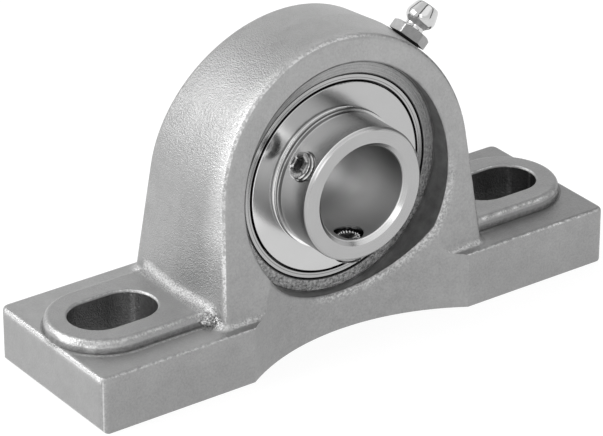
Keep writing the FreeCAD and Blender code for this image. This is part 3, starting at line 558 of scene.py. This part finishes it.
def nipple_steel():
    """Turned steel: a greyer hexagon, made paler by painted light on the flats that look back, a bright
    head, painted shade in the hollow at the tip and a painted shadow on the shank under the hexagon.
    """
    finish = new_finish("nipple_steel")
    x, y, z = finish.millimetres()
    uneven = finish.grain(0.8)
    from_axis, height = about_spoke(x, y, z, NIPPLE_ANGLE, NIPPLE_FORWARD)
    above_seat = height - NIPPLE_SEAT
    head = above_seat.rise(2.0, 2.2)
    under = above_seat.fall(-0.30, -0.20)
    hollow = from_axis.fall(0.75, 0.85) * above_seat.rise(5.0, 6.0)
    # Painted light on the hexagon's flats that look back
    lit_back_flats = (1.0 - head) * finish.parts("Normal")[1].rise(-0.5, -0.1)
    shade = 0.27 + 0.32 * head + 0.13 * lit_back_flats + uneven.swing(0.08)
    # Painted shade in the hollow at the tip and painted shadow on the shank under the hexagon
    shade = shade.less(0.80, hollow).less(0.95, under)
    rough = 0.16 - 0.06 * head + 0.40 * under + 0.25 * lit_back_flats + uneven.swing(0.04)
    return finish.surface(shade, rough, finish.bumps(uneven, 0.003))


def small_steel(name, shade, rough, lump_size=0.6, depth=0.002):
    """Plain steel of a small piece, a little uneven in colour and gloss."""
    finish = new_finish(name)
    uneven = finish.grain(lump_size)
    return finish.surface(shade + uneven.swing(0.25 * shade), rough + uneven.swing(0.4 * rough),
                          finish.bumps(uneven, depth))


def seal_rubber():
    """Dark nitrile rubber with a faint moulded grain."""
    finish = new_finish("seal_rubber")
    fine = finish.grain(0.25)
    return finish.surface(0.020 + 0.015 * fine, 0.55 + fine.swing(0.15), finish.bumps(fine, 0.01),
                          metallic=0.0)


finishes = {
    "cast_stainless": cast_stainless(),
    "ring_steel": ring_steel(),
    "slinger_steel": slinger_steel(),
    "screw_steel": screw_steel(),
    "nipple_steel": nipple_steel(),
    "spring_steel": small_steel("spring_steel", 0.40, 0.25),
    "washer_steel": small_steel("washer_steel", 0.40, 0.32),
    "cage_steel": small_steel("cage_steel", 0.46, 0.30),
    "ball_steel": small_steel("ball_steel", 0.58, 0.08, lump_size=2.0, depth=0.0005),
    "seal_rubber": seal_rubber(),
}

for node in nodes.values():
    for index, material in enumerate(node.data.materials):
        node.material_slots[index].material = finishes[material.name.split(".")[0]]


# Shapes worked out on grids, in millimetres

def spoke(degrees, radius, forward):
    """A point on a line out of the shaft's axis, turned from +X towards +Z."""
    turn = math.radians(degrees)
    return np.array([radius * math.cos(turn), -forward, radius * math.sin(turn)])


def along_spoke(points, degrees, radius, forward):
    """Points from a frame with Z outwards along a spoke to the object's frame, in metres. Local Z goes
    along the spoke, local X towards the shaft's rear, +Y, and local Y completes them."""
    outwards = spoke(degrees, 1.0, 0.0)
    rear = np.array([0.0, 1.0, 0.0])
    side = np.cross(outwards, rear)
    placed = points[..., 0:1] * rear + points[..., 1:2] * side + points[..., 2:3] * outwards
    return (placed + spoke(degrees, radius, forward)) * MM


def ring_of(turn, radius, height):
    """A ring of points: this radius and this height at each turn."""
    radius = np.broadcast_to(radius, turn.shape)
    height = np.broadcast_to(height, turn.shape)
    return np.stack([radius * np.cos(turn), radius * np.sin(turn), height], axis=-1)


def hexagon_radius(turn, across_flats, start):
    """A hexagon's radius at each turn: half its width over the cosine of the angle from the nearest
    flat's middle. The flats' middles lie 60 degrees apart from this starting angle on."""
    from_middle = (turn - math.radians(start) + math.pi / 6.0) % (math.pi / 3.0) - math.pi / 6.0
    return 0.5 * across_flats / np.cos(from_middle)


def closed_rings(rings):
    """Vertices and faces of a grid of rings that starts and ends at a point on its own axis.
    Rings are rows of points; row 0 and the last row are single points given once each."""
    first, last = rings[0][:1], rings[-1][:1]
    middle = np.stack(rings[1:-1])
    rows, columns = middle.shape[:2]
    points = np.concatenate([first, middle.reshape(-1, 3), last])
    row, column = np.meshgrid(np.arange(rows - 1), np.arange(columns), indexing="ij")
    here = 1 + row * columns + column
    beside = 1 + row * columns + (column + 1) % columns
    quads = np.stack([here, beside, beside + columns, here + columns], axis=-1).reshape(-1, 4)
    edge = np.arange(columns)
    after = (edge + 1) % columns
    end = 1 + (rows - 1) * columns
    start_fan = np.stack([np.zeros(columns, int), 1 + after, 1 + edge], axis=-1)
    end_fan = np.stack([np.full(columns, len(points) - 1), end + edge, end + after], axis=-1)
    return points, quads.tolist() + start_fan.tolist() + end_fan.tolist()


def tube_rings(rings):
    """Vertices and faces of a grid of rings that closes on itself both ways."""
    points = np.stack(rings)
    rows, columns = points.shape[:2]
    row, column = np.meshgrid(np.arange(rows), np.arange(columns), indexing="ij")
    below = ((row + 1) % rows) * columns
    beside = (column + 1) % columns
    here = row * columns
    quads = np.stack([here + column, here + beside, below + beside, below + column], axis=-1)
    return points.reshape(-1, 3), quads.reshape(-1, 4).tolist()


def put_in_scene(name, data):
    """An object with this mesh, lamp or camera, at the origin."""
    made = bpy.data.objects.new(name, data)
    bpy.context.scene.collection.objects.link(made)
    return made


def new_piece(name, points, faces, finish, sharp=35.0):
    """A finished mesh object from points in metres, smooth except at edges sharper than this angle."""
    mesh = bpy.data.meshes.new(name)
    mesh.from_pydata(points.tolist(), [], faces)
    mesh.validate()
    mesh.shade_smooth()
    mesh.set_sharp_from_angle(angle=math.radians(sharp))
    mesh.materials.append(finishes[finish])
    return put_in_scene(name, mesh)


# Set screws

def screw_rings():
    """Set screw, tip at local z = 0. The flank's radius is the crest less a triangle wave of
    (height / pitch - turn), cut down by a cone at each end. The cup's rim has teeth, a cosine of the
    turn, and the socket is a hexagon."""
    pitch, crest, depth, flank_slope, crest_flat = 1.0, 2.95, 0.60, 1.35, 0.12
    teeth_count, tooth = 21.0, 0.30
    socket_width, socket_depth = 3.0, 2.3
    turn = np.linspace(0.0, 2.0 * math.pi, 128, endpoint=False)
    socket = hexagon_radius(turn, socket_width, 0.0)
    teeth = tooth * (0.5 + 0.5 * np.cos(teeth_count * turn))
    cup = ((0.0, 0.95), (0.80, 0.80), (1.60, 0.45), (1.80, 0.30))
    rings = [ring_of(turn, radius, height) for radius, height in cup]
    rings += [ring_of(turn, radius, teeth) for radius in (2.00, 2.25)]
    rings.append(ring_of(turn, 2.48, 0.30))
    for height in np.linspace(0.36, SCREW_LENGTH, 101):
        phase = (height / pitch - turn / (2.0 * math.pi)) % 1.0
        wave = np.clip(flank_slope * np.abs(2.0 * phase - 1.0) - crest_flat, 0.0, 1.0)
        tip_cone = 2.15 + 1.1 * height
        top_cone = 2.68 + 1.3 * (SCREW_LENGTH - height)
        rings.append(ring_of(turn, np.minimum(crest - depth * wave, min(tip_cone, top_cone)), height))
    top = ((2.60, 0.0), (1.95, 0.0), (socket, 0.22), (socket, socket_depth), (0.90, socket_depth + 0.12),
           (0.0, socket_depth + 0.45))
    return rings + [ring_of(turn, radius, SCREW_LENGTH - below_top) for radius, below_top in top]


screw_points, faces = closed_rings(screw_rings())
for number, degrees in enumerate(SCREW_ANGLES, start=1):
    placed = along_spoke(screw_points, degrees, SCREW_TIP, SCREW_LEVEL)
    screw = new_piece(f"threaded_screw_{number}", placed, faces, "screw_steel")
    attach(screw, f"screw_{number}")
    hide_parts(f"set_screw_{number}")


# Grease nipple

def nipple_rings():
    """Grease nipple, hexagon's underside at local z = 0. The hexagon's radius is cut by its bevel's
    cone. The profile runs up the outside of shank, hexagon, neck and head, and down the hollow."""
    across_flats, hexagon_top, first_flat = 7.3, 2.0, 22.7
    turn = np.linspace(0.0, 2.0 * math.pi, 120, endpoint=False)
    nut = hexagon_radius(turn, across_flats, first_flat)
    shank = ((0.60, -5.3), (2.68, -5.3), (2.98, -5.0), (2.98, -0.26))
    rings = [ring_of(turn, radius, height) for radius, height in shank]
    rings.append(ring_of(turn, np.minimum(nut, 4.05), -0.24))
    for height in np.linspace(-0.20, hexagon_top, 24):
        bevel = 0.5 * across_flats - 0.1 + 1.6 * (hexagon_top - height)
        rings.append(ring_of(turn, np.minimum(nut, bevel), height))
    neck = ((2.45, 2.02), (2.15, 2.15), (2.03, 2.45), (2.02, 2.80), (2.12, 3.02), (2.38, 3.28))
    head = ((2.74, 3.62), (2.98, 4.00), (3.14, 4.45), (3.20, 4.90), (3.17, 5.20), (3.05, 5.70), (2.86, 6.30),
            (2.66, 6.90), (2.46, 7.38), (2.36, 7.55), (2.22, 7.66), (2.05, 7.70))
    hollow = ((0.98, 7.70), (0.80, 7.64), (0.75, 7.54), (0.75, 6.60), (1.35, 6.60),
              (1.35, -CHAMBER_FLOOR), (0.60, -CHAMBER_FLOOR))
    return rings + [ring_of(turn, radius, height) for radius, height in neck + head + hollow]


points, faces = tube_rings(nipple_rings())
placed = along_spoke(points, NIPPLE_ANGLE, NIPPLE_SEAT, NIPPLE_FORWARD)
nipple = new_piece("grease_nipple", placed, faces, "nipple_steel", sharp=28.0)
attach(nipple, "housing")
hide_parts("grease_nipple_body")


def coil_rings():
    """Check spring, a wire round a helix: the helix climbs evenly with its turn, and each ring of the
    wire's surface lies square to it. A point in the wire's middle closes it at each end."""
    coil, wire, turns, low, high = 0.95, 0.15, 6.0, -4.53, 4.79
    around = np.linspace(0.0, 2.0 * math.pi, 10, endpoint=False)
    climb = (high - low) / (turns * 2.0 * math.pi)
    rings = []
    for turn in np.linspace(0.0, turns * 2.0 * math.pi, 145):
        out = np.array([math.cos(turn), math.sin(turn), 0.0])
        along = np.array([-coil * math.sin(turn), coil * math.cos(turn), climb]) / math.hypot(coil, climb)
        middle = coil * out + np.array([0.0, 0.0, low + climb * turn])
        square = np.cross(along, out)
        ring = np.cos(around)[:, None] * out + np.sin(around)[:, None] * square
        rings.append(middle + wire * ring)
    return [rings[0].mean(axis=0, keepdims=True)] + rings + [rings[-1].mean(axis=0, keepdims=True)]


points, faces = closed_rings(coil_rings())
placed = along_spoke(points, NIPPLE_ANGLE, NIPPLE_SEAT, NIPPLE_FORWARD)
coil_spring = new_piece("check_spring", placed, faces, "spring_steel", sharp=60.0)
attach(coil_spring, "housing")
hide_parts("nipple_spring")
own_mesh(coil_spring)


# Spilt metal on the casting

def lump_points(place, reach, phase):
    """One cast lump: a ball whose radius swells and shrinks with sines of its two angles."""
    around, up = np.meshgrid(np.linspace(0.0, 2.0 * math.pi, 28, endpoint=False),
                             np.linspace(0.0, math.pi, 15)[1:-1])
    swell = 1.0 + 0.16 * np.sin(3.0 * around + phase) * np.sin(up) + 0.14 * np.sin(4.0 * up + 2.0 * phase)
    swell = swell + 0.08 * np.sin(7.0 * around - 3.0 * phase) * np.sin(up)
    ball = np.stack([np.sin(up) * np.cos(around), np.sin(up) * np.sin(around), -np.cos(up)], axis=-1)
    rows = [np.array([[0.0, 0.0, -1.0]])] + list(ball * swell[..., None]) + [np.array([[0.0, 0.0, 1.0]])]
    points, faces = closed_rings(rows)
    return points * reach + place, faces


def casting_lumps():
    """Spilt lumps of metal in the corner of the left pad, the foot and the upright: one in the corner
    itself and the others strewn round it, each smaller the further out it lies."""
    chance = np.random.default_rng(11)
    lump_count, spacing, turn_step = 9, 0.36, 2.4
    points, faces = [], []
    for count in range(lump_count):
        away = spacing * count
        turn = turn_step * count
        place = np.array(LUMP_PLACE) + [away * math.cos(turn), 0.45 * away * math.sin(turn), 0.22 * away]
        reach = (1.20 - 0.085 * count) * np.array([1.0, 0.8, 0.7]) * chance.uniform(0.85, 1.15, 3)
        more_points, more_faces = lump_points(place, reach, 1.7 * count)
        start = sum(len(block) for block in points)
        points.append(more_points)
        faces += [[corner + start for corner in face] for face in more_faces]
    lumps = new_piece("casting_lumps", np.concatenate(points) * MM, faces, "cast_stainless", sharp=60.0)
    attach(lumps, "housing")


casting_lumps()


# Floor, light and camera, in metres and degrees

FLOOR_HALF = 6.0
FLOOR_GAP = 0.00002
FLOOR_SHADE = 0.22
FLOOR_GLOW = 0.84
UPPER_SEAM = (0.31, -0.90, -0.31)
LOWER_SEAM = (0.64, 0.41, -0.64)
VIEW_AZIMUTH = -35.77
VIEW_ELEVATION = 27.18
VIEW_DISTANCE = 0.74445
VIEW_AIM = (-0.0020, 0.0, -0.01211)
LENS = 221.37


def stage_floor():
    """A pale floor that shows white, with the object's own soft shadow on it: the little light that it
    throws back and its own glow add up to white where nothing shades it."""
    finish = new_finish("floor_paper")
    rays = finish.node("ShaderNodeLightPath", {}, {})
    shown = Value(finish, rays.outputs["Is Camera Ray"])
    shown = shown.larger(Value(finish, rays.outputs["Is Glossy Ray"]))
    shown = shown.larger(Value(finish, rays.outputs["Is Transmission Ray"]))
    matt = finish.node("ShaderNodeBsdfDiffuse", {}, {"Color": finish.grey(0.8)})
    dim = finish.node("ShaderNodeBsdfDiffuse", {}, {"Color": finish.grey(FLOOR_SHADE)})
    glow = finish.node("ShaderNodeEmission", {}, {"Color": finish.grey(1.0), "Strength": FLOOR_GLOW})
    white = finish.node("ShaderNodeAddShader", {}, {0: dim.outputs[0], 1: glow.outputs[0]})
    mixed = finish.node("ShaderNodeMixShader", {}, {0: shown, 1: matt.outputs[0], 2: white.outputs[0]})
    finish.node("ShaderNodeOutputMaterial", {}, {"Surface": mixed.outputs[0]})
    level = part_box("housing")[0].z - FLOOR_GAP
    corners = [(-FLOOR_HALF, -FLOOR_HALF), (FLOOR_HALF, -FLOOR_HALF), (FLOOR_HALF, FLOOR_HALF),
               (-FLOOR_HALF, FLOOR_HALF)]
    mesh = bpy.data.meshes.new("floor")
    mesh.from_pydata([(x, y, level) for x, y in corners], [], [(0, 1, 2, 3)])
    mesh.materials.append(finish.owner)
    floor = put_in_scene("floor", mesh)


def direction(azimuth, elevation):
    """The way to a place at this azimuth, 0 towards -Y and 90 towards +X, and elevation, in degrees."""
    turn, lift = math.radians(azimuth), math.radians(elevation)
    return Vector((math.sin(turn) * math.cos(lift), -math.cos(turn) * math.cos(lift), math.sin(lift)))


def aim(thing, place, forwards, axis):
    """A lamp or camera moved to a place, with one of its axes turned forwards and its Y axis up."""
    thing.location = place
    thing.rotation_mode = "QUATERNION"
    thing.rotation_quaternion = forwards.to_track_quat(axis, "Y")


def lamp(name, azimuth, elevation, distance, width, height, level):
    """A soft panel that lights a facing white surface at the origin to this level."""
    light = bpy.data.lights.new(name, "AREA")
    light.shape = "RECTANGLE"
    light.size, light.size_y = width, height
    light.energy = level * (math.pi * distance) ** 2
    way = direction(azimuth, elevation)
    aim(put_in_scene(name, light), way * distance, way, "Z")


def studio_world():
    """A pale tent, white round the horizon and a little greyer overhead, with a brighter front panel
    between two dark seams. A seam is where the way out lies in a plane, given by the plane's normal."""
    world = bpy.data.worlds.new("studio")
    tent = Finish(world)
    x, y, z = tent.parts("Generated")
    upper, lower = [x * seam[0] + y * seam[1] + z * seam[2] for seam in (UPPER_SEAM, LOWER_SEAM)]
    panel = upper.rise(0.0, 0.05) * lower.fall(-0.05, 0.0) * z.rise(0.42, 0.60)
    level = 1.0 - 0.12 * z.rise(0.14, 0.34) + 0.45 * panel + 0.22 * y.rise(0.2, 0.8)
    for away in (upper, lower):
        level = level.less(0.92, abs(away).fall(0.05, 0.10) * z.rise(0.0, 0.1))
    sky = tent.node("ShaderNodeBackground", {}, {"Color": tent.grey(level), "Strength": 1.0})
    tent.node("ShaderNodeOutputWorld", {}, {"Surface": sky.outputs[0]})
    bpy.context.scene.world = world


def camera():
    """The photograph's view: a long lens from the front left, 27 degrees above the floor."""
    data = bpy.data.cameras.new("camera")
    data.sensor_width = 36.0
    data.lens = LENS
    data.clip_start, data.clip_end = 0.05, 20.0
    eye = put_in_scene("camera", data)
    back = direction(VIEW_AZIMUTH, VIEW_ELEVATION)
    aim(eye, Vector(VIEW_AIM) + back * VIEW_DISTANCE, -back, "-Z")
    bpy.context.scene.camera = eye


stage_floor()
studio_world()
lamp("key_left", azimuth=-119.0, elevation=34.0, distance=0.70, width=0.50, height=0.40, level=0.66)
lamp("front_soft", azimuth=-42.0, elevation=30.0, distance=0.80, width=0.26, height=0.42, level=0.10)
camera()
bpy.context.scene.view_settings.view_transform = "Standard"
